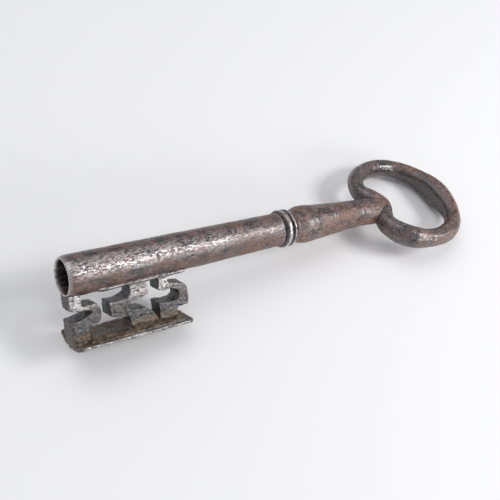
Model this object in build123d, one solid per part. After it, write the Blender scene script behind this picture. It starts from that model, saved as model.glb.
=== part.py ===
from build123d import *
from math import cos, exp, radians, sin, sqrt
import os

# Antique hand-forged barrel key, in millimetres.
#
# Each piece is drawn in the key's own frame: X runs from the mouth of the barrel, along the
# stem, to the bow; the bit hangs down towards -Z; the origin is on the barrel's axis at its
# mouth. lay_down() then turns the whole key about that origin until +Z is up and the key lies
# on a level table as a real one does, on the foot of its bit and the rim of its bow.

# how the key lies on a table
ROLL = -38.8
PITCH = 7.45

# barrel: a hollow tube that tapers towards the collar, bored for the lock's pin from the mouth
# and left with a narrower socket for the shank's spigot at the other end
BARREL_LENGTH = 73.0
BARREL_MOUTH_RADIUS = 5.95
BARREL_TAPER = 0.5
BARREL_WALL = 1.2
MOUTH_CHAMFER_DEPTH = 0.45
MOUTH_CHAMFER_LENGTH = 1.3
COLLAR_END_CHAMFER = 0.4
SOCKET_LENGTH = 15.0
SOCKET_WALL = 0.95

# collar: two rings on the spigot, between the end of the barrel and the shoulder of the shank
COLLAR_HEIGHT = 0.8
FRONT_RING_WIDTH = 2.7
REAR_RING_WIDTH = 3.3
RING_ROUNDING = 0.8
RING_CLEARANCE = 0.05

# shank: solid, with a spigot through the collar rings and into the barrel
SPIGOT_CLEARANCE = 0.05
SHANK_LENGTH = 36.3
SHANK_SHOULDER_DROP = 1.0
SHANK_BULGE_HEIGHT = 0.05
SHANK_BULGE_FROM_SHOULDER = 5.5
SHANK_HOLLOW = 0.3
SHANK_BOW_RADIUS = 4.4
SHANK_LAP = 0.6

# bow: a kidney-shaped ring of round bar, swollen at the weld opposite the shank; its lobes are
# full on the shank's side, and between them it dips into the ring where the shank meets it
BOW_TILT = 34.3
BOW_HALF_LENGTH = 17.9
BOW_HALF_WIDTH = 19.3
BOW_FULLNESS = 5.0
BOW_DIP = 4.5
BOW_DIP_REACH = 5.6
BOW_BAR_RADIUS = 3.15
BOW_SWELL = 1.3

# bit: a blade cut by the wards into three crooked legs that stand on one curved foot
BIT_SETBACK = 0.1
BIT_LENGTH = 36.3
BIT_THICKNESS = 6.0
ROOT_THICKNESS = 0.4
ROOT_HALF_ANGLE = 38.0
FOOT_RADIUS = 20.9
FOOT_THICKNESS = 1.5
FOOT_WIDTH = 14.4
FOOT_CORNER_RADIUS = 1.2
LEG_CORNER_RADIUS = 0.35
LEG_SINK = 0.5

# each leg has a neck at the barrel, a drop and a post on the foot; these are their spans along
# the bit, leg 1 from its end at the mouth, leg 2 from its middle and leg 3 from its other end
LEG_1_NECK = (0.0, 3.2)
LEG_1_DROP = (6.3, 8.8)
LEG_1_POST = (0.0, 4.8)
LEG_2_NECK = (-0.25, 4.75)
LEG_2_DROP = (-6.15, -1.45)
LEG_2_POST = (-0.75, 4.95)
LEG_3_NECK = (-8.8, -5.9)
LEG_3_DROP = (-2.9, 0.0)
LEG_3_POST = (-8.9, -3.8)

# below the barrel's axis: an upper bar joins neck to drop, and a lower bar joins drop to post
LEG_1_UPPER_BAR = (9.0, 9.9)
LEG_1_LOWER_BAR = (12.9, 14.2)
LEG_2_UPPER_BAR = (9.1, 10.0)
LEG_2_LOWER_BAR = (13.4, 14.3)
LEG_3_UPPER_BAR = (9.1, 10.1)
LEG_3_LOWER_BAR = (13.7, 15.5)

BORE_RADIUS = BARREL_MOUTH_RADIUS - BARREL_WALL
BORE_LENGTH = BARREL_LENGTH - SOCKET_LENGTH
BARREL_COLLAR_RADIUS = BARREL_MOUTH_RADIUS - BARREL_TAPER
SOCKET_RADIUS = BARREL_COLLAR_RADIUS - SOCKET_WALL
SPIGOT_RADIUS = SOCKET_RADIUS - SPIGOT_CLEARANCE
RING_BORE_RADIUS = SPIGOT_RADIUS + RING_CLEARANCE
COLLAR_RADIUS = BARREL_COLLAR_RADIUS + COLLAR_HEIGHT
REAR_RING_START = BARREL_LENGTH + FRONT_RING_WIDTH
SHOULDER = REAR_RING_START + REAR_RING_WIDTH
SHANK_BULGE_RADIUS = COLLAR_RADIUS + SHANK_BULGE_HEIGHT
SHANK_SHOULDER_RADIUS = SHANK_BULGE_RADIUS - SHANK_SHOULDER_DROP
BOW_CENTRE = SHOULDER + SHANK_LENGTH + BOW_HALF_LENGTH
FOOT_INNER_RADIUS = FOOT_RADIUS - FOOT_THICKNESS


def lay_down(piece):
    """Turn a piece from the key's own frame to the way that the key lies on a table."""
    return piece.rotate(Axis.X, ROLL).rotate(Axis.Y, PITCH)


def turned(outline):
    """Spin a closed half outline, drawn above the axis in the XZ plane, about the X axis."""
    return revolve(make_face(outline), Axis.X)


def barrel_radius(distance):
    """The outer radius of the barrel at a distance from its mouth."""
    return BARREL_MOUTH_RADIUS - BARREL_TAPER * distance / BARREL_LENGTH


def barrel_envelope():
    """The outside of the barrel as one solid cone frustum."""
    outline = Polyline(
        (0, 0, 0),
        (0, 0, barrel_radius(0)),
        (BARREL_LENGTH, 0, barrel_radius(BARREL_LENGTH)),
        (BARREL_LENGTH, 0, 0),
        close=True,
    )
    return turned(outline)


def barrel():
    """A tapered tube with a stepped hole right through and a worn chamfer round its mouth."""
    chamfer_start = BARREL_LENGTH - COLLAR_END_CHAMFER
    outline = Polyline(
        (0, 0, BORE_RADIUS),
        (0, 0, BARREL_MOUTH_RADIUS - MOUTH_CHAMFER_DEPTH),
        (MOUTH_CHAMFER_LENGTH, 0, barrel_radius(MOUTH_CHAMFER_LENGTH)),
        (chamfer_start, 0, barrel_radius(chamfer_start)),
        (BARREL_LENGTH, 0, BARREL_COLLAR_RADIUS - COLLAR_END_CHAMFER),
        (BARREL_LENGTH, 0, SOCKET_RADIUS),
        (BORE_LENGTH, 0, SOCKET_RADIUS),
        (BORE_LENGTH, 0, BORE_RADIUS),
        close=True,
    )
    return turned(outline)


def collar_ring(start, width):
    """One ring of the collar, with its outer corners rounded."""
    end = start + width
    edge_radius = COLLAR_RADIUS - RING_ROUNDING
    sides = Polyline(
        (start, 0, edge_radius),
        (start, 0, RING_BORE_RADIUS),
        (end, 0, RING_BORE_RADIUS),
        (end, 0, edge_radius),
    )
    crown = ThreePointArc(
        (end, 0, edge_radius),
        (start + width / 2, 0, COLLAR_RADIUS),
        (start, 0, edge_radius),
    )
    return turned([sides, crown])


def bow_point(turn):
    """A point on the bow's centre line; 0 degrees is opposite the shank."""
    across = BOW_HALF_WIDTH * sin(radians(turn))
    along = BOW_HALF_LENGTH * cos(radians(turn))
    if along < 0:
        lobe = BOW_FULLNESS * sin(radians(turn)) ** 2 * cos(radians(turn))
        along += lobe + BOW_DIP * exp(-((across / BOW_DIP_REACH) ** 2))
    return Vector(
        BOW_CENTRE + along,
        across * cos(radians(BOW_TILT)),
        across * sin(radians(BOW_TILT)),
    )


def bow_section(turn):
    """The bar's round section at one place on the bow, larger towards the weld."""
    square_to_ring = (0, -sin(radians(BOW_TILT)), cos(radians(BOW_TILT)))
    near_weld = max(0.0, cos(radians(turn))) ** 2
    plane = Plane(
        origin=bow_point(turn),
        x_dir=square_to_ring,
        z_dir=bow_point(turn + 1) - bow_point(turn - 1),
    )
    return plane * Circle(BOW_BAR_RADIUS + BOW_SWELL * near_weld)


def bow():
    """Two lofted halves of the ring, joined beside the shank and at the weld."""
    halves = [
        loft([bow_section(turn) for turn in range(first, first + 181, 12)])
        for first in (0, 180)
    ]
    return halves[0] + halves[1]


def shank():
    """The solid stem: spigot, shoulder, bulge and taper, lapped round the bar of the bow."""
    spigot_start = BORE_LENGTH
    bulge = SHOULDER + SHANK_BULGE_FROM_SHOULDER
    end = bow_point(180).X + BOW_BAR_RADIUS + SHANK_LAP
    spigot = Polyline(
        (end, 0, SHANK_BOW_RADIUS),
        (end, 0, 0),
        (spigot_start, 0, 0),
        (spigot_start, 0, SPIGOT_RADIUS),
        (SHOULDER, 0, SPIGOT_RADIUS),
        (SHOULDER, 0, SHANK_SHOULDER_RADIUS),
    )
    swell = TangentArc(
        (bulge, 0, SHANK_BULGE_RADIUS),
        (SHOULDER, 0, SHANK_SHOULDER_RADIUS),
        tangent=(-1, 0, 0),
    )
    taper = ThreePointArc(
        (bulge, 0, SHANK_BULGE_RADIUS),
        ((bulge + end) / 2, 0, (SHANK_BULGE_RADIUS + SHANK_BOW_RADIUS) / 2 - SHANK_HOLLOW),
        (end, 0, SHANK_BOW_RADIUS),
    )
    return turned([spigot, swell, taper]) - bow()


def foot():
    """The curved plate under the wards, struck from the barrel's axis."""
    half = FOOT_WIDTH / 2
    outer_drop = sqrt(FOOT_RADIUS**2 - half**2)
    inner_drop = sqrt(FOOT_INNER_RADIUS**2 - half**2)
    outline = [
        ThreePointArc((0, -half, -outer_drop), (0, 0, -FOOT_RADIUS), (0, half, -outer_drop)),
        Line((0, half, -outer_drop), (0, half, -inner_drop)),
        ThreePointArc((0, half, -inner_drop), (0, 0, -FOOT_INNER_RADIUS), (0, -half, -inner_drop)),
        Line((0, -half, -inner_drop), (0, -half, -outer_drop)),
    ]
    plate = extrude(make_face(outline), BIT_LENGTH, dir=(1, 0, 0))
    plate = Pos(BIT_SETBACK, 0, 0) * plate
    return fillet(plate.edges().filter_by(Axis.Z, tolerance=30), FOOT_CORNER_RADIUS)


def root():
    """The saddle that spreads the top of the bit along the underside of the barrel."""
    reach = BARREL_MOUTH_RADIUS + ROOT_THICKNESS
    wedge_drop = 2 * reach * cos(radians(ROOT_HALF_ANGLE))
    wedge_side = 2 * reach * sin(radians(ROOT_HALF_ANGLE))
    corners = [(0, 0, 0), (0, -wedge_side, -wedge_drop), (0, wedge_side, -wedge_drop)]
    wedge = make_face(Polyline(*corners, close=True))
    sector = extrude(wedge, BIT_LENGTH, dir=(1, 0, 0))
    rod = extrude(Plane.YZ * Circle(reach), BIT_LENGTH, dir=(1, 0, 0))
    return Pos(BIT_SETBACK, 0, 0) * (sector & rod)


def stroke(span, top, bottom):
    """One straight piece of a leg, as a flat rectangle in the plane of the blade."""
    width = span[1] - span[0]
    middle = (span[0] + span[1]) / 2
    return Plane.XZ * Pos(middle, -(top + bottom) / 2) * Rectangle(width, bottom - top)


def leg(start, neck, drop, post, upper_bar, lower_bar):
    """One leg of the blade: neck, upper bar, drop, lower bar and post, in one flat outline.

    Its ends run into the barrel and the foot, so only the corners between them are rounded.
    """
    upper_span = (min(neck[0], drop[0]), max(neck[1], drop[1]))
    lower_span = (min(post[0], drop[0]), max(post[1], drop[1]))
    flat = (
        stroke(neck, BORE_RADIUS, upper_bar[1])
        + stroke(upper_span, *upper_bar)
        + stroke(drop, upper_bar[0], lower_bar[1])
        + stroke(lower_span, *lower_bar)
        + stroke(post, lower_bar[0], FOOT_INNER_RADIUS + LEG_SINK)
    )
    open_corners = [
        corner for corner in flat.vertices() if BARREL_MOUTH_RADIUS < -corner.Z < FOOT_INNER_RADIUS
    ]
    flat = fillet(open_corners, LEG_CORNER_RADIUS)
    return Pos(start, 0, 0) * extrude(flat, BIT_THICKNESS / 2, both=True)


def bit():
    """Root, three legs and foot in one piece, seated against the outside of the barrel."""
    middle = BIT_SETBACK + BIT_LENGTH / 2
    end = BIT_SETBACK + BIT_LENGTH
    legs = (
        leg(BIT_SETBACK, LEG_1_NECK, LEG_1_DROP, LEG_1_POST, LEG_1_UPPER_BAR, LEG_1_LOWER_BAR)
        + leg(middle, LEG_2_NECK, LEG_2_DROP, LEG_2_POST, LEG_2_UPPER_BAR, LEG_2_LOWER_BAR)
        + leg(end, LEG_3_NECK, LEG_3_DROP, LEG_3_POST, LEG_3_UPPER_BAR, LEG_3_LOWER_BAR)
    )
    return root() + legs + foot() - barrel_envelope()


pieces = {
    "barrel": barrel(),
    "collar_ring_front": collar_ring(BARREL_LENGTH, FRONT_RING_WIDTH),
    "collar_ring_rear": collar_ring(REAR_RING_START, REAR_RING_WIDTH),
    "shank": shank(),
    "bow": bow(),
    "bit": bit(),
}

os.makedirs("parts", exist_ok=True)
for name, piece in pieces.items():
    export_step(lay_down(piece), f"parts/{name}.step")
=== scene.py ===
import bmesh
import bpy
import math
import numpy as np
from mathutils import Matrix, Vector, noise


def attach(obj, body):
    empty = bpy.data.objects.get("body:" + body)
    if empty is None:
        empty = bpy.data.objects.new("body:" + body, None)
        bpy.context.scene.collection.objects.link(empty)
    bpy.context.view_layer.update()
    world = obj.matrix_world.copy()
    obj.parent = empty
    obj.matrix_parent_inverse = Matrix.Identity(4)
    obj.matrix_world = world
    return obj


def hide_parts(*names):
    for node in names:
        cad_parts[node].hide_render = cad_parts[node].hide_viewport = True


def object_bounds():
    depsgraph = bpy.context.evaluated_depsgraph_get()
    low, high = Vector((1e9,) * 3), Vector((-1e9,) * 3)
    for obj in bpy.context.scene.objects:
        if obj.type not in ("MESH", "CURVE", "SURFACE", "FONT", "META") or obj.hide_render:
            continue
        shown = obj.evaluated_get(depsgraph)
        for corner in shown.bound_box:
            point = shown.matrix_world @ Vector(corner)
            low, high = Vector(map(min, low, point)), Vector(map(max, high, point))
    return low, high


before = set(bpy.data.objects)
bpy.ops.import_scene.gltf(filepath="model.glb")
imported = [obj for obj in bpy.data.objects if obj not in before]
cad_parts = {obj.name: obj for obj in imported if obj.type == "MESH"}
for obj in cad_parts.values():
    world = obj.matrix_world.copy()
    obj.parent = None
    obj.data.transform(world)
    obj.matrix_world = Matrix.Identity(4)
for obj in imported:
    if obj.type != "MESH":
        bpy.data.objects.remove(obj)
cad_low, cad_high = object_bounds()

# ---------------------------------------------------------------------------------------------
# The barrel: a hollow tube, forged round a mandrel and filed, that tapers a little towards the
# collar. Its mouth is worn thin and its skin is pitted. The bore takes the pin of the lock.
# ---------------------------------------------------------------------------------------------

# Every piece is drawn in millimetres along the straight key, from the mouth (0) towards the bow
# (+X) with the bit hanging down, and is then laid on the table on its foot and its bow.
lying_pitch = math.radians(7.45)
lying_roll = math.radians(-38.8)
millimetre = 0.001
lying = (
    Matrix.Rotation(lying_pitch, 4, "Y")
    @ Matrix.Rotation(lying_roll, 4, "X")
    @ Matrix.Scale(millimetre, 4)
)


def sewn(name, rows, joined=False):
    """A skin of four-sided faces sewn between rows of points, each row once round the piece."""
    rows = np.asarray(rows)
    count, around = rows.shape[:2]
    faces = []
    for row in range(count if joined else count - 1):
        here, there = row * around, (row + 1) % count * around
        for step in range(around):
            following = (step + 1) % around
            faces.append((here + step, here + following, there + following, there + step))
    points = rows.reshape(-1, 3).tolist()
    if not joined:
        for end in (0, count - 1):
            points.append(rows[end].mean(axis=0).tolist())
            for step in range(around):
                following = (step + 1) % around
                faces.append((end * around + step, end * around + following, len(points) - 1))
    mesh = bpy.data.meshes.new(name)
    mesh.from_pydata(points, [], faces)
    shell = bmesh.new()
    shell.from_mesh(mesh)
    bmesh.ops.recalc_face_normals(shell, faces=shell.faces)
    shell.to_mesh(mesh)
    shell.free()
    return mesh


def points_of(mesh):
    """The mesh's points and the directions that they face."""
    points = np.empty(len(mesh.vertices) * 3)
    facing = np.empty(len(mesh.vertices) * 3)
    mesh.vertices.foreach_get("co", points)
    mesh.vertex_normals.foreach_get("vector", facing)
    return points.reshape(-1, 3), facing.reshape(-1, 3)


def hammered(mesh, dents, seed):
    """Dent the skin: each dent layer is a depth and a size in millimetres."""
    points, facing = points_of(mesh)
    push = np.zeros(len(points))
    for layer, (depth, size) in enumerate(dents):
        offset = Vector((seed * 7.3, layer * 19.1, seed * 3.7))
        push += depth * np.array([noise.noise(Vector(p) / size + offset) for p in points])
    mesh.vertices.foreach_set("co", (points + facing * push[:, None]).ravel())
    mesh.update()


def pitted(mesh, depth, size, cover, seed):
    """Eat small rust pits into the skin; cover runs from 0, none, to 1, everywhere."""
    points, facing = points_of(mesh)
    offset = Vector((seed * 11.9, seed * 5.3, 0))
    rough = np.array([noise.noise(Vector(p) / size + offset) for p in points])
    bite = np.clip(rough - (0.6 - 1.2 * cover), 0, 0.5)
    mesh.vertices.foreach_set("co", (points - facing * (2 * depth * bite)[:, None]).ravel())
    mesh.update()


def spread(mesh, values, passes):
    """Each point's value, softened over its neighbours a number of times."""
    count = len(mesh.vertices)
    ends = np.empty(len(mesh.edges) * 2, dtype=np.int64)
    mesh.edges.foreach_get("vertices", ends)
    first, second = ends.reshape(-1, 2).T
    links = np.bincount(ends, minlength=count)
    values = np.array(values, dtype=float).reshape(count, -1)
    for _ in range(passes):
        for part in range(values.shape[1]):
            column = values[:, part]
            near = np.bincount(first, column[second], count)
            near += np.bincount(second, column[first], count)
            values[:, part] = (column + near / links) / 2
    return values


def paint(mesh, name, values):
    """Keep one number from 0 to 1 for each point, for the finish to read."""
    layer = mesh.attributes.new(name, "FLOAT", "POINT")
    layer.data.foreach_set("value", np.clip(values, 0, 1).ravel())


def mark_wear(mesh, passes, least, most):
    """Paint 'edge' where the skin stands proud and gets rubbed bright, 'hollow' where dirt stays.

    Least and most are the heights in millimetres where the wear starts and where it is complete.
    """
    points, facing = points_of(mesh)
    proud = ((points - spread(mesh, points, passes)) * facing).sum(axis=1)
    proud -= np.median(proud)
    paint(mesh, "edge", (proud - least) / (most - least))
    paint(mesh, "hollow", (-proud - least) / (most - least))


def finish_piece(name, mesh, material, node):
    """Lay the piece on the table, give it its finish and let it stand for its solid."""
    mesh.transform(lying)
    mesh.polygons.foreach_set("use_smooth", [True] * len(mesh.polygons))
    mesh.materials.append(material)
    piece = bpy.data.objects.new(name, mesh)
    bpy.context.scene.collection.objects.link(piece)
    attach(piece, "root")
    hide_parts(node)


def node(material, kind, inputs=(), **settings):
    """One shader node; inputs are (socket, value or output) pairs."""
    made = material.node_tree.nodes.new("ShaderNode" + kind)
    for setting, value in settings.items():
        setattr(made, setting, value)
    for socket, value in inputs:
        if isinstance(value, bpy.types.NodeSocket):
            material.node_tree.links.new(value, made.inputs[socket])
        else:
            made.inputs[socket].default_value = value
    return made


def grain(material, size, detail, rough, offset=0.0, drawn=1.0):
    """A noise pattern with spots of about that size in millimetres, drawn out along the key."""
    place = node(material, "TexCoord").outputs["Object"]
    shift = (offset, -offset, 2 * offset)
    stretch = (1 / millimetre / drawn, 1 / millimetre, 1 / millimetre)
    moved = node(material, "Mapping", [("Vector", place), ("Location", shift), ("Scale", stretch)])
    return node(
        material,
        "TexNoise",
        [("Vector", moved.outputs[0]), ("Scale", 0.5 / size), ("Detail", detail), ("Roughness", rough)],
    ).outputs["Fac"]


def ramp(material, value, low, high, start=0.0, end=1.0):
    """Remap a value from low..high to start..end, held at the ends."""
    return node(
        material,
        "MapRange",
        [("Value", value), ("From Min", low), ("From Max", high), ("To Min", start), ("To Max", end)],
    ).outputs["Result"]


def times(material, first, second):
    """One value times another."""
    return node(material, "Math", [(0, first), (1, second)], operation="MULTIPLY").outputs[0]


def plus(material, first, second):
    """One value plus another, held to 0..1."""
    inputs = [(0, first), (1, second)]
    return node(material, "Math", inputs, operation="ADD", use_clamp=True).outputs[0]


def over(material, amount, under, top):
    """Lay one colour over another by an amount."""
    inputs = [("Factor", amount), (6, under), (7, top)]
    return node(material, "Mix", inputs, data_type="RGBA").outputs[2]


def painted(material, name):
    """The number that was painted on the mesh under that name; 0 where there is none."""
    return node(material, "Attribute", attribute_name=name).outputs["Fac"]


# the colour of bare metal, for real wear and for painted highlights
bare_metal_and_highlight = (0.62, 0.58, 0.59, 1)
iron_ior = 1.8


def old_iron(name, dark, brown, pale, rust, rust_cover, bright_cover, sheen, roughened=0.05):
    """Hand-forged iron: mottled brown skin, rust in patches, bare metal on the rubbed places and as
    painted highlight, and painted shade or dark blotches where a mesh asks.

    The covers and the sheen run from 0 to 1; roughened is the height of the grain in millimetres.
    """
    material = bpy.data.materials.new(name)
    material.use_nodes = True
    material.node_tree.nodes.clear()
    broad = grain(material, 5.0, 3, 0.55)
    mottle = grain(material, 1.3, 4, 0.65, 31.0, 1.6)
    speck = grain(material, 0.28, 3, 0.65, 57.0, 2.2)
    fine = grain(material, 0.13, 2, 0.6, 83.0, 1.5)

    skin = over(material, ramp(material, mottle, 0.42, 0.56), dark, brown)
    skin = over(material, ramp(material, speck, 0.5, 0.68, 0.0, 0.7), skin, pale)
    streak = grain(material, 0.3, 4, 0.7, 12.0, 2.6)
    skin = over(material, ramp(material, streak, 0.5, 0.38, 0.0, 0.9), skin, dark)

    rust_start = 0.66 - 0.3 * rust_cover
    patches = ramp(material, broad, rust_start, rust_start + 0.1, 0.0, 0.7)
    rusty = plus(material, patches, painted(material, "rust"))
    rusty = times(material, rusty, ramp(material, mottle, 0.32, 0.6, 0.15, 1.0))
    fresh_rust = (*[channel * 1.7 for channel in rust[:3]], 1)
    bloom = over(material, ramp(material, speck, 0.4, 0.62), rust, fresh_rust)
    streaky_rust = times(material, rusty, ramp(material, streak, 0.4, 0.52, 0.25, 1.0))
    skin = over(material, streaky_rust, skin, bloom)

    pit = ramp(material, speck, 0.46, 0.36)
    pit = times(material, pit, ramp(material, mottle, 0.62, 0.42, 0.35, 1.0))
    pit = times(material, pit, ramp(material, fine, 0.3, 0.7, 0.6, 0.95))
    skin = over(material, pit, skin, dark)
    grime = times(material, painted(material, "hollow"), ramp(material, fine, 0.2, 0.8, 0.6, 0.98))
    skin = over(material, grime, skin, (*[channel * 0.6 for channel in dark[:3]], 1))
    # painted shade and dark blotches: the skin is darkened where the mesh's number says. This is
    # painted shade on the bow's inner wall and in the bore, and random dark blotches on the bit
    painted_shade_and_blotches = times(material, painted(material, "painted_shade_and_blotches"), ramp(material, mottle, 0.3, 0.6, 0.9, 0.6))
    skin = over(material, painted_shade_and_blotches, skin, dark)

    glint = grain(material, 0.24, 3, 0.75, 44.0, 2.6)
    bright_start = 0.6 - 0.2 * bright_cover
    worn_edges = ramp(material, speck, 0.35, 0.55, 0.45, 1.0)
    worn_edges = times(material, painted(material, "edge"), worn_edges)
    # bare metal where the mesh's number says: real wear on rubbed crests and edges, and painted
    # highlight where the lamps' reflection falls
    rubbed_and_highlit_skin = ramp(material, glint, bright_start, bright_start + 0.08, 0.0, 0.95)
    rubbed_and_highlit_skin = times(material, painted(material, "wear_and_highlight"), rubbed_and_highlit_skin)
    bare_and_highlit = plus(material, worn_edges, rubbed_and_highlit_skin)
    colour = over(material, bare_and_highlit, skin, bare_metal_and_highlight)
    smoothest = 0.43 - 0.26 * sheen
    rough = ramp(material, mottle, 0.3, 0.7, smoothest, smoothest + 0.21)
    rough = plus(material, rough, times(material, rusty, ramp(material, fine, 0.2, 0.8, 0.1, 0.35)))

    coarse_grain = ramp(material, speck, 0.34, 0.6)
    coarse_grain = times(material, coarse_grain, ramp(material, mottle, 0.3, 0.7, 0.4, 0.75))
    fine_grain = times(material, fine, ramp(material, mottle, 0.3, 0.7, 0.15, 0.35))
    height = plus(material, coarse_grain, fine_grain)
    bump = node(
        material,
        "Bump",
        [("Height", height), ("Strength", 0.8), ("Distance", roughened * millimetre)],
    )
    shader = node(
        material,
        "BsdfPrincipled",
        [
            ("Base Color", colour),
            ("Metallic", bare_and_highlit),
            ("Roughness", rough),
            ("IOR", iron_ior),
            ("Normal", bump.outputs[0]),
        ],
    )
    node(material, "OutputMaterial", [("Surface", shader.outputs[0])])
    return material


barrel_length = 73.0
bore_radius = 4.75
bore_length = 58.0
socket_radius = 4.5
barrel_sides = 144
mouth_radius = 5.945
barrel_taper = 0.0072
barrel_outside = [(0.0, 5.42), (0.25, 5.58), (0.7, 5.74), (1.4, 5.88), (2.4, 5.93)]
for step in range(197):
    along = 3.4 + 0.35 * step
    barrel_outside.append((along, mouth_radius - barrel_taper * along))
barrel_outside += [(barrel_length - 0.4, 5.36), (barrel_length, 5.1)]
barrel_inside = [(barrel_length, 4.6), (barrel_length - 0.1, socket_radius)]
barrel_inside += [(bore_length + 0.2, socket_radius), (bore_length, bore_radius)]
barrel_inside += [(57.0 - 1.5 * step, bore_radius) for step in range(37)]
barrel_inside += [(1.0, 4.76), (0.35, 4.82), (0.05, 4.93)]

barrel_rows = []
for along, radius in barrel_outside + barrel_inside:
    row = []
    for side in range(barrel_sides):
        angle = 2 * math.pi * side / barrel_sides
        underside = max(0.0, -math.cos(angle))
        wear = 0.28 * underside * max(0.0, 1 - along / 5.0) ** 2 if radius > 5 else 0.0
        oval = 0.05 * math.cos(2 * angle + along / 40)
        reach = radius - wear + oval
        lip = 0.22 * math.cos(angle + 0.6) if along < 0.3 else 0.0
        place = along + lip * max(0.0, 1 - along)
        row.append((place, reach * math.sin(angle), reach * math.cos(angle)))
    barrel_rows.append(row)

barrel_mesh = sewn("key_barrel", barrel_rows, joined=True)
hammered(barrel_mesh, [(0.10, 9.0), (0.06, 3.0), (0.035, 1.1)], seed=1)
pitted(barrel_mesh, 0.10, 0.9, 0.42, seed=2)
mark_wear(barrel_mesh, 14, 0.10, 0.35)
spots, _ = points_of(barrel_mesh)
under = np.clip(-spots[:, 2] / 5.0, 0, 1)
# painted highlight: a band of bare metal along the barrel's side where the window box's reflection
# falls, strongest at the mouth
highlight_turn = math.radians(62)
toward_highlight = (spots[:, 2] * math.cos(highlight_turn) - spots[:, 1] * math.sin(highlight_turn)) / 5.8
brightest_at_mouth = np.clip(1.25 - 0.012 * spots[:, 0], 0.45, 1)
in_bore = np.clip((5.15 - np.hypot(spots[:, 1], spots[:, 2])) / 0.3, 0, 1)
rusty_behind_bit = np.clip((spots[:, 0] - 22) / 12, 0.1, 1)
paint(barrel_mesh, "wear_and_highlight", np.clip(5.5 * toward_highlight - 4.5, 0, 1) * brightest_at_mouth)
paint(
    barrel_mesh,
    "rust",
    0.9 * np.clip(under * 1.6 - 0.25, 0, 1) * rusty_behind_bit * (1 - in_bore),
)
# painted shade: the bore and the inside of the mouth are darkened
paint(barrel_mesh, "painted_shade_and_blotches", in_bore)
barrel_iron = old_iron(
    "barrel_iron",
    dark=(0.012, 0.007, 0.008, 1),
    brown=(0.150, 0.076, 0.064, 1),
    pale=(0.20, 0.155, 0.16, 1),
    rust=(0.115, 0.050, 0.026, 1),
    rust_cover=0.4,
    bright_cover=0.68,
    sheen=0.75,
)
finish_piece("key_barrel", barrel_mesh, barrel_iron, "barrel")

# ---------------------------------------------------------------------------------------------
# The collar: two rings of iron shrunk on behind the barrel. The front one is a plain bead; the
# rear one has a narrow crest and a hollow cove. Their crests are rubbed bright.
# ---------------------------------------------------------------------------------------------

ring_sides = 144
ring_bore = 4.46


def collar_ring(name, outline, node_name, seed):
    """One ring turned from an outline of (distance from the mouth, radius) points."""
    outline = outline + [(outline[-1][0], ring_bore), (outline[0][0], ring_bore)]
    fine_outline = []
    for (start, low), (end, high) in zip(outline, outline[1:] + outline[:1]):
        steps = max(1, round(math.hypot(end - start, high - low) / 0.16))
        for step in range(steps):
            share = step / steps
            fine_outline.append((start + (end - start) * share, low + (high - low) * share))
    rows = []
    for along, radius in fine_outline:
        row = []
        for side in range(ring_sides):
            angle = 2 * math.pi * side / ring_sides
            wander = 0.07 * math.sin(angle + seed) if ring_bore < radius else 0.0
            row.append((along + wander, radius * math.sin(angle), radius * math.cos(angle)))
        rows.append(row)
    mesh = sewn(name, rows, joined=True)
    mesh.vertices.foreach_set("co", spread(mesh, points_of(mesh)[0], 2).ravel())
    mesh.update()
    hammered(mesh, [(0.08, 4.0), (0.05, 1.2)], seed)
    mark_wear(mesh, 10, 0.04, 0.12)
    spots, _ = points_of(mesh)
    crest = np.clip((np.hypot(spots[:, 1], spots[:, 2]) - 6.02) / 0.18, 0, 1)
    paint(mesh, "wear_and_highlight", crest)
    paint(mesh, "rust", 0.8 * np.clip((spots[:, 0] - 77.2) / 1.2, 0, 1))
    finish_piece(name, mesh, collar_iron, node_name)


collar_iron = old_iron(
    "collar_iron",
    dark=(0.012, 0.009, 0.010, 1),
    brown=(0.065, 0.042, 0.040, 1),
    pale=(0.15, 0.12, 0.12, 1),
    rust=(0.15, 0.065, 0.030, 1),
    rust_cover=0.35,
    bright_cover=1.0,
    sheen=0.9,
)
front_ring = [
    (73.0, 5.0), (73.12, 5.5), (73.5, 6.0), (74.2, 6.25),
    (74.9, 6.2), (75.4, 5.85), (75.6, 5.4), (75.7, 5.0),
]
rear_ring = [
    (75.7, 5.0), (75.8, 5.55), (76.1, 6.05), (76.5, 6.22), (76.95, 6.0),
    (77.4, 5.72), (78.0, 5.52), (78.6, 5.45), (79.0, 5.45),
]
collar_ring("key_front_ring", front_ring, "collar_ring_front", seed=3)
collar_ring("key_rear_ring", rear_ring, "collar_ring_rear", seed=4)

# ---------------------------------------------------------------------------------------------
# The shank: a solid stem forged to a swell behind the collar and a long taper, then drawn out
# to a tongue that is lapped and welded over the bar of the bow. A spigot plugs the barrel.
# ---------------------------------------------------------------------------------------------

bow_tilt = math.radians(34.3)
bow_across = np.array((0, math.cos(bow_tilt), math.sin(bow_tilt)))
bow_face = np.array((0, -math.sin(bow_tilt), math.cos(bow_tilt)))

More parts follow.
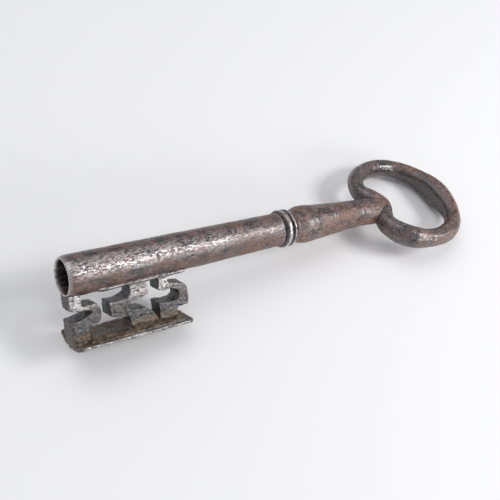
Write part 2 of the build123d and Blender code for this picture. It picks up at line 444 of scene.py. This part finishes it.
# distance from the mouth, half width across the bow, height on its upper and lower faces, and
# how far the stem's middle has sunk towards the bit
shank_form = np.array([
    (58.0, 4.2, 4.2, 4.2, 0.0),
    (58.3, 4.43, 4.43, 4.43, 0.0),
    (78.9, 4.43, 4.43, 4.43, 0.0),
    (79.0, 5.3, 5.3, 5.3, 0.0),
    (79.6, 5.47, 5.47, 5.47, 0.0),
    (80.6, 5.75, 5.75, 5.75, 0.0),
    (81.8, 6.1, 6.1, 6.1, 0.0),
    (83.4, 6.25, 6.25, 6.25, 0.0),
    (85.5, 6.2, 6.22, 6.22, 0.05),
    (88.0, 5.97, 5.97, 6.0, 0.12),
    (91.0, 5.72, 5.7, 5.75, 0.2),
    (95.3, 5.42, 5.4, 5.45, 0.27),
    (100.3, 5.1, 5.05, 5.1, 0.33),
    (105.3, 4.88, 4.85, 4.9, 0.4),
    (110.3, 4.65, 4.6, 4.6, 0.5),
    (114.3, 4.5, 4.4, 4.4, 0.6),
    (117.0, 4.3, 4.3, 4.0, 0.6),
    (119.0, 4.0, 4.15, 3.2, 0.5),
    (120.5, 3.6, 3.9, 2.4, 0.4),
    (121.5, 3.0, 3.6, 1.4, 0.3),
    (122.2, 2.2, 3.2, 0.6, 0.25),
    (122.6, 1.2, 2.8, 0.2, 0.2),
])
shank_sides = 120
shank_rows = []
spigot_steps = [58.0, 58.3, 60, 66, 72, 78.9]
for along in np.concatenate((spigot_steps, np.arange(79.0, 122.6, 0.3), [122.6])):
    wide, over_bar, under_bar, sunk = [
        np.interp(along, shank_form[:, 0], measure) for measure in shank_form[:, 1:].T
    ]
    lap = 0.42 * np.clip((along - 111) / 10, 0, 1) ** 1.5
    row = []
    for side in range(shank_sides):
        angle = 2 * math.pi * side / shank_sides
        across, rise = math.sin(angle), math.cos(angle)
        deep = over_bar if rise > 0 else under_bar
        flare = 1 + 0.34 * max(0.0, -across) * np.clip((along - 109) / 8, 0, 1)
        place = np.array((along + lap * across * wide, 0, -sunk))
        place = place + bow_across * wide * flare * across + bow_face * deep * rise
        row.append(tuple(place))
    shank_rows.append(row)
shank_mesh = sewn("key_shank", shank_rows)
hammered(shank_mesh, [(0.16, 9.0), (0.09, 3.4), (0.04, 1.2)], seed=5)
pitted(shank_mesh, 0.10, 1.0, 0.4, seed=6)
mark_wear(shank_mesh, 14, 0.10, 0.35)
spots, _ = points_of(shank_mesh)
lit_near_side = np.clip(-spots[:, 1] / 4.0, 0, 1)
on_swell = np.clip((96 - spots[:, 0]) / 12, 0.25, 1)
underneath = np.clip(-spots[:, 2] / 3.5 - 0.3, 0, 1)
beside_collar = np.clip((80.5 - spots[:, 0]) / 1.5, 0, 1)
# painted sheen: bare metal on the shank's near side, toward the camera and lamps, most on the swell
paint(shank_mesh, "wear_and_highlight", 0.42 * lit_near_side * on_swell)
paint(shank_mesh, "rust", 0.9 * underneath + 0.5 * beside_collar)
shank_iron = old_iron(
    "shank_iron",
    dark=(0.014, 0.008, 0.008, 1),
    brown=(0.200, 0.100, 0.078, 1),
    pale=(0.27, 0.20, 0.19, 1),
    rust=(0.150, 0.066, 0.036, 1),
    rust_cover=0.5,
    bright_cover=0.25,
    sheen=0.6,
)
finish_piece("key_shank", shank_mesh, shank_iron, "shank")

# ---------------------------------------------------------------------------------------------
# The bow: an iron bar bent to a kidney-shaped ring that dips in at the stem, with its two ends
# welded opposite. The weld was hammered to a broad flat, and hands have worn the bar elsewhere.
# ---------------------------------------------------------------------------------------------

bow_centre = 133.2
bow_half_length = 17.9
bow_half_width = 19.3
bow_dip = 5.5
bar_mean_radius = 3.2
bow_sides = 72
bow_steps = 420


def bow_middle(turn):
    """The bow's middle line in the ring's own plane: along the key, and across the ring."""
    across = bow_half_width * math.sin(turn)
    along = bow_half_length * math.cos(turn)
    if along < 0:
        fullness = 4.7 + 0.8 * math.sin(turn)
        dip_width = 5.4 + 0.1 * math.sin(turn)
        along += fullness * math.sin(turn) ** 2 * math.cos(turn)
        along += bow_dip * math.exp(-((across / dip_width) ** 2))
    return np.array((bow_centre + along, across))


def bump_at(turn, middle, reach):
    """1 at a place round the ring, in degrees, fading to 0 past its reach on both sides."""
    return math.exp(-(((math.degrees(turn) - middle) / reach) ** 2))


def bar_radius(turn):
    """The bar's radius round the ring, with its two swellings and its two worn places."""
    swells = [(135, 25, -0.2), (166, 12, 0.55), (232, 26, 0.85), (318, 20, -0.3)]
    swelling = sum(height * bump_at(turn, middle, reach) for middle, reach, height in swells)
    return bar_mean_radius + swelling


def bar_reach(turn, radius, weld):
    """How far the bar's skin is from its middle; turn 0 is outwards and 90 degrees is up."""
    flats = [(0.0, 4.6), (52.0, 4.1), (116.0, 4.75), (180.0, 4.3), (250.0, 4.3), (305.0, 4.4)]
    sharp = 4.0 + 7.0 * weld
    total = 0.0
    for facing, swollen in flats:
        toward = math.cos(turn - math.radians(facing))
        if toward > 0:
            total += (toward / (radius + (swollen - radius) * weld)) ** sharp
    return total ** (-1 / sharp)


bow_rows = []
for step in range(bow_steps):
    turn = 2 * math.pi * step / bow_steps
    from_weld = math.degrees(min(turn, 2 * math.pi - turn))
    weld = math.exp(-((from_weld / 28) ** 2))
    ahead = bow_middle(turn + 0.01) - bow_middle(turn - 0.01)
    ahead /= np.linalg.norm(ahead)
    outwards = np.array((ahead[1], 0, 0)) - bow_across * ahead[0]
    along, across = bow_middle(turn)
    shift = 0.3 * bump_at(turn, 230, 35) + 0.6 * bump_at(turn, 315, 20)
    middle = np.array((along, 0, 0)) + bow_across * across + outwards * shift
    row = []
    for side in range(bow_sides):
        angle = 2 * math.pi * side / bow_sides
        reach = bar_reach(angle, bar_radius(turn), weld)
        row.append(tuple(middle + reach * (outwards * math.cos(angle) + bow_face * math.sin(angle))))
    bow_rows.append(row)
bow_mesh = sewn("key_bow", bow_rows, joined=True)
hammered(bow_mesh, [(0.24, 11.0), (0.10, 3.6), (0.05, 1.2)], seed=7)
pitted(bow_mesh, 0.09, 0.9, 0.4, seed=8)
mark_wear(bow_mesh, 14, 0.10, 0.35)
spots, _ = points_of(bow_mesh)
around_bar = np.tile(np.linspace(0, 2 * math.pi, bow_sides, endpoint=False), bow_steps)
round_ring = np.repeat(np.linspace(0, 2 * math.pi, bow_steps, endpoint=False), bow_sides)
# painted shade: the bar's inner wall near the weld is darkened
shaded_inner_wall = np.clip(-1.8 * np.cos(around_bar - 0.35) - 0.2, 0, 1)
lit_outer_face = np.clip(1.5 * np.cos(around_bar - 0.9), 0, 1)
far_side = np.clip((spots[:, 0] - 138) / 10, 0, 1)
by_weld = np.clip(0.7 + 0.7 * np.cos(round_ring - 0.7), 0, 1)
paint(bow_mesh, "painted_shade_and_blotches", 0.6 * shaded_inner_wall * by_weld)
# painted light: the bar's outer face, toward the lamps, is lighter. It gets bare metal near the stem,
# partly real wear, and light rust further out, partly real rust
paint(bow_mesh, "wear_and_highlight", 0.1 + 0.3 * lit_outer_face * (1 - far_side))
paint(bow_mesh, "rust", 0.8 * far_side * lit_outer_face)
bow_iron = old_iron(
    "bow_iron",
    dark=(0.010, 0.007, 0.008, 1),
    brown=(0.105, 0.056, 0.050, 1),
    pale=(0.16, 0.125, 0.125, 1),
    rust=(0.200, 0.098, 0.066, 1),
    rust_cover=0.42,
    bright_cover=0.3,
    sheen=1.0,
    roughened=0.025,
)
finish_piece("key_bow", bow_mesh, bow_iron, "bow")

# ---------------------------------------------------------------------------------------------
# The bit: one blade brazed under the barrel and sawn by hand into three crooked legs, which
# pass the wards of the lock, on a curved foot. Files left it square; use has rounded it.
# ---------------------------------------------------------------------------------------------

half_blade = 3.0
foot_radius = 20.9
foot_thickness = 1.5
bit_start = 0.2
bit_length = 36.3
skin_grid = 0.2

# outlines of the legs as (distance from the mouth, depth below the barrel's middle)
leg_at_mouth = [
    (0.15, 4.95), (3.7, 4.95), (3.6, 7.4), (3.9, 8.6), (5.2, 8.5), (6.8, 8.4), (8.1, 8.8),
    (8.9, 10.1), (9.1, 11.7), (8.9, 13.1), (8.3, 14.2), (6.6, 14.6), (5.3, 14.6), (5.0, 15.4),
    (5.0, 19.9), (0.0, 19.9), (0.0, 12.7), (2.0, 12.35), (4.2, 11.75), (5.8, 11.2),
    (6.5, 10.75), (6.0, 10.2), (4.9, 9.95), (3.2, 9.9), (0.1, 9.45),
]
leg_in_middle = [
    (18.2, 4.95), (18.2, 8.4), (17.3, 9.1), (16.0, 9.4), (11.8, 9.55), (11.6, 11.0),
    (11.8, 13.7), (14.4, 14.5), (17.2, 15.0), (17.6, 16.6), (17.3, 19.9), (26.6, 19.9),
    (26.3, 17.4), (25.0, 15.4), (23.4, 14.0), (21.8, 13.3), (18.4, 13.1), (17.4, 12.7),
    (17.2, 12.0), (17.4, 11.2), (18.6, 10.7), (21.0, 10.2), (23.7, 9.4), (23.8, 7.8),
    (23.3, 6.4), (23.4, 4.95),
]
leg_at_end = [
    (27.2, 4.95), (27.4, 7.0), (27.1, 9.3), (29.0, 9.8), (32.0, 10.0), (33.2, 10.6),
    (33.8, 11.7), (33.6, 12.9), (32.6, 13.6), (30.0, 13.5), (27.0, 13.2), (27.0, 19.9),
    (32.9, 19.9), (32.7, 16.6), (33.4, 15.9), (36.5, 15.6), (36.8, 12.5), (36.7, 10.0),
    (36.0, 9.2), (33.0, 8.4), (30.9, 8.0), (30.3, 7.2), (30.6, 4.95),
]


def plate(shell, rows):
    """Add a closed block to the shell from rows of points, each row once round the block."""
    made = [[shell.verts.new(point) for point in row] for row in rows]
    shell.faces.new(made[0])
    shell.faces.new(made[-1][::-1])
    for here, there in zip(made, made[1:]):
        for n in range(len(here)):
            m = (n + 1) % len(here)
            shell.faces.new((here[m], here[n], there[n], there[m]))


blade = bmesh.new()
for leg in (leg_at_mouth, leg_in_middle, leg_at_end):
    faces = [[(along, side, -depth) for along, depth in leg] for side in (-half_blade, half_blade)]
    plate(blade, faces)


def arc_drop(side):
    """How far a point of the foot's outer arc lies below the barrel's middle."""
    return math.sqrt(foot_radius**2 - side**2)


# the foot is worn round at its corners, nicked once on its near edge, and bent at the mouth's end
foot_steps = 36
foot_rows = []
for step in range(foot_steps + 1):
    along = bit_start + bit_length * step / foot_steps
    from_end = min(step, foot_steps - step)
    corner = (1.9, 0.9, 0.35, 0.1)[from_end] if from_end < 4 else 0.0
    at_mouth = step < 5
    near = -7.3 + corner * (0.5 if at_mouth else 1.0) + (0.45 if step in (27, 28) else 0.0)
    far = 7.5 - corner * (0.4 if at_mouth else 1.3)
    sag = 0.1 + 0.5 * step / foot_steps
    lift = 1.6 * max(0.0, 1 - step / 9) ** 1.5
    underneath, on_top = [], []
    for side in np.linspace(near, far, 15).tolist():
        drop = arc_drop(side) + sag * max(0.0, -side / 7) - lift * max(0.0, side / 7) ** 3
        thickness = foot_thickness - 0.5 * (abs(side) / 7.2) ** 2
        underneath.append((along, side, -drop))
        on_top.append((along, side, thickness - drop))
    foot_rows.append(underneath + on_top[::-1])
plate(blade, foot_rows)

# the root wraps under the barrel, where the brazing holds it
root_turns = np.radians(np.linspace(-40, 40, 15))
root_rows = []
for along in np.arange(8.3, 36.2, 0.5):
    outer_reach = 5.95 + 0.45 * min(1.0, (along - 8.0) / 3.0)
    row = []
    for reach, turns in ((5.5, root_turns), (outer_reach, root_turns[::-1])):
        row += [(along, reach * math.sin(turn), -reach * math.cos(turn)) for turn in turns]
    root_rows.append(row)
plate(blade, root_rows)

# rust and grime have caked on the foot, thickest between and in front of the legs
crust_form = [(2.5, 0.2), (0.5, 0.6), (-1.5, 0.85), (-3.3, 0.9), (-4.8, 0.45), (-6.4, 0.0)]
for first, last, height in ((4.4, 18.0, 1.6), (17.0, 27.4, 1.9), (26.4, 33.4, 1.3)):
    crust_rows = []
    for along in np.arange(first, last, 0.4):
        lump = height * min(1.0, (along - first + 0.2) / 1.5, (last - along + 0.2) / 1.5)
        row = [(along, -6.4, -19.4), (along, 2.5, -20.0)]
        for side, share in crust_form:
            wander = 1 + 0.45 * noise.noise(Vector((along / 1.3, side / 1.5, 7.0)))
            top = foot_thickness - 0.15 - arc_drop(side) + lump * share * wander
            row.append((along, side, top))
        crust_rows.append(row)
    plate(blade, crust_rows)
bmesh.ops.recalc_face_normals(blade, faces=blade.faces)

bit_mesh = bpy.data.meshes.new("key_bit_blank")
blade.to_mesh(bit_mesh)
blade.free()
blank = bpy.data.objects.new("bit_blank", bit_mesh)
bpy.context.scene.collection.objects.link(blank)
weld = blank.modifiers.new("weld", "REMESH")
weld.mode = "VOXEL"
weld.voxel_size = skin_grid
weld.adaptivity = 0
bpy.context.view_layer.update()
welded = blank.evaluated_get(bpy.context.evaluated_depsgraph_get())
bit_mesh = bpy.data.meshes.new_from_object(welded)
bpy.data.objects.remove(blank)
bit_mesh.name = "key_bit"
bit_mesh.vertices.foreach_set("co", spread(bit_mesh, points_of(bit_mesh)[0], 3).ravel())
bit_mesh.update()
hammered(bit_mesh, [(0.24, 6.0), (0.14, 2.2), (0.06, 0.8)], seed=9)
pitted(bit_mesh, 0.15, 0.9, 0.45, seed=10)
mark_wear(bit_mesh, 12, 0.11, 0.2)
spots, _ = points_of(bit_mesh)
depth = -spots[:, 2]
lit_neck_face = np.clip((10.5 - depth) / 2, 0, 1) * np.clip((-spots[:, 1] - 2.2) / 0.5, 0, 1)
inside_arc = np.clip((20.3 - np.hypot(spots[:, 1], depth)) / 0.5, 0, 1)
on_foot = np.clip((depth - 15.8) / 1.5, 0, 1) * inside_arc
rim = np.clip((np.abs(spots[:, 1]) - 6.7) / 0.3, 0, 1)
blotches = np.array([noise.noise(Vector(p) / 0.9) + 0.6 * noise.noise(Vector(p) / 0.45) for p in spots])
blotches = np.clip(3.0 * blotches - 0.1, 0, 1)
paint(bit_mesh, "painted_shade_and_blotches", blotches * (0.35 + 0.65 * on_foot) * (1 - rim) * (1 - lit_neck_face))
# painted highlight: bare metal on the near faces of the necks, lit by the low lamp; the bare rim of the
# foot is real wear
paint(bit_mesh, "wear_and_highlight", np.maximum(0.75 * lit_neck_face, 0.55 * rim))
paint(bit_mesh, "rust", 0.9 * on_foot * (1 - rim))
bit_iron = old_iron(
    "bit_iron",
    dark=(0.008, 0.007, 0.007, 1),
    brown=(0.050, 0.038, 0.035, 1),
    pale=(0.19, 0.16, 0.155, 1),
    rust=(0.190, 0.125, 0.065, 1),
    rust_cover=0.25,
    bright_cover=0.9,
    sheen=0.35,
)
finish_piece("key_bit", bit_mesh, bit_iron, "bit")

# ---------------------------------------------------------------------------------------------
# The table, the studio lights and the camera. The table is plain pale paper. Two soft boxes
# light the key's near side and a broad one fills from above, so the shadows stay soft.
# ---------------------------------------------------------------------------------------------

table_reach = 3.0
table_corners = [
    (x * table_reach, y * table_reach, cad_low.z) for x, y in ((-1, -1), (1, -1), (1, 1), (-1, 1))
]
table_mesh = bpy.data.meshes.new("table_top")
table_mesh.from_pydata(table_corners, [], [(0, 1, 2, 3)])
table_top = bpy.data.objects.new("table_top", table_mesh)
bpy.context.scene.collection.objects.link(table_top)
paper = bpy.data.materials.new("pale_paper")
paper.use_nodes = True
paper.node_tree.nodes.clear()
paper_white = (0.93, 0.935, 0.945, 1)
paper_shader = node(paper, "BsdfPrincipled", [("Base Color", paper_white), ("Roughness", 0.9)])
node(paper, "OutputMaterial", [("Surface", paper_shader.outputs[0])])
table_mesh.materials.append(paper)

key_middle = (cad_low + cad_high) / 2


def soft_light(name, direction, distance, size, power, tint):
    """A soft box that shines on the key from a direction; sizes are metres and power is watts."""
    lamp = bpy.data.lights.new(name, "AREA")
    lamp.shape = "RECTANGLE"
    lamp.size, lamp.size_y = size
    lamp.energy = power
    lamp.color = tint
    box = bpy.data.objects.new(name, lamp)
    bpy.context.scene.collection.objects.link(box)
    direction = Vector(direction).normalized()
    box.location = key_middle + direction * distance
    box.rotation_mode = "QUATERNION"
    box.rotation_quaternion = direction.to_track_quat("Z", "Y")


warm_white = (1.0, 0.99, 0.98)
cool_white = (0.98, 0.98, 1.0)
soft_light("window_box", (0.629, -0.456, 0.63), 0.8, (0.27, 0.22), 3.0, warm_white)
soft_light("low_card", (0.43, -0.86, 0.32), 0.7, (0.30, 0.16), 1.1, warm_white)
soft_light("top_box", (-0.2, 0.35, 1.0), 1.0, (0.9, 0.9), 2.6, cool_white)

world = bpy.data.worlds.new("studio")
bpy.context.scene.world = world
world.use_nodes = True
room_light = world.node_tree.nodes["Background"]
room_light.inputs["Color"].default_value = (0.97, 0.97, 1.0, 1)
room_light.inputs["Strength"].default_value = 0.44

camera_data = bpy.data.cameras.new("camera")
camera_data.sensor_width = 36.0
camera_data.lens = 50.4
camera_data.clip_start = 0.01
camera_data.clip_end = 20.0
camera = bpy.data.objects.new("camera", camera_data)
bpy.context.scene.collection.objects.link(camera)
# the camera's place and directions are given along the straight key, as its pieces are
camera_place = Vector((-59.73, -178.30, 54.28))
camera_right = Vector((0.81650, -0.57496, -0.05237))
camera_up = Vector((0.19329, 0.18675, 0.96320))
camera_back = camera_right.cross(camera_up)
turned = lying.to_3x3().normalized()
facing = Matrix((turned @ camera_right, turned @ camera_up, turned @ camera_back)).transposed()
camera.matrix_world = Matrix.Translation(lying @ camera_place) @ facing.to_4x4()
bpy.context.scene.camera = camera
bpy.context.scene.view_settings.view_transform = "Standard"
